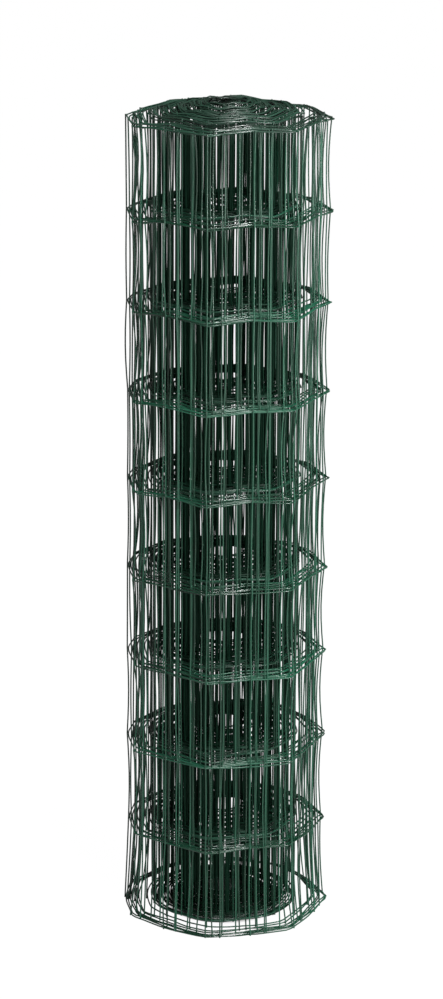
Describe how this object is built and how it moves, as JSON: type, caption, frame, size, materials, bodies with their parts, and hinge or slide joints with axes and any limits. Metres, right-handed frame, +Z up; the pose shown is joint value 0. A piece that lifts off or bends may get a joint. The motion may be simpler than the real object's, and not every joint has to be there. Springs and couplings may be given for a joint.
{
  "type": "roll of wire fencing",
  "caption": "Tall roll of green coated welded wire fencing, standing on end, with its turns showing on both ends around an open bore.",
  "frame": {"origin": "on the roll's axis, at the floor it stands on", "axes": "+Z up along the roll's axis, -Y towards the viewer of the picture, +X to the viewer's right"},
  "size_m": [0.2161, 0.215, 0.9241],
  "materials": {
    "coated_wire": "dark green plastic coating, satin"
  },
  "bodies": {
    "root": {"mesh_roll": "coated_wire"}
  },
  "joints": []
}
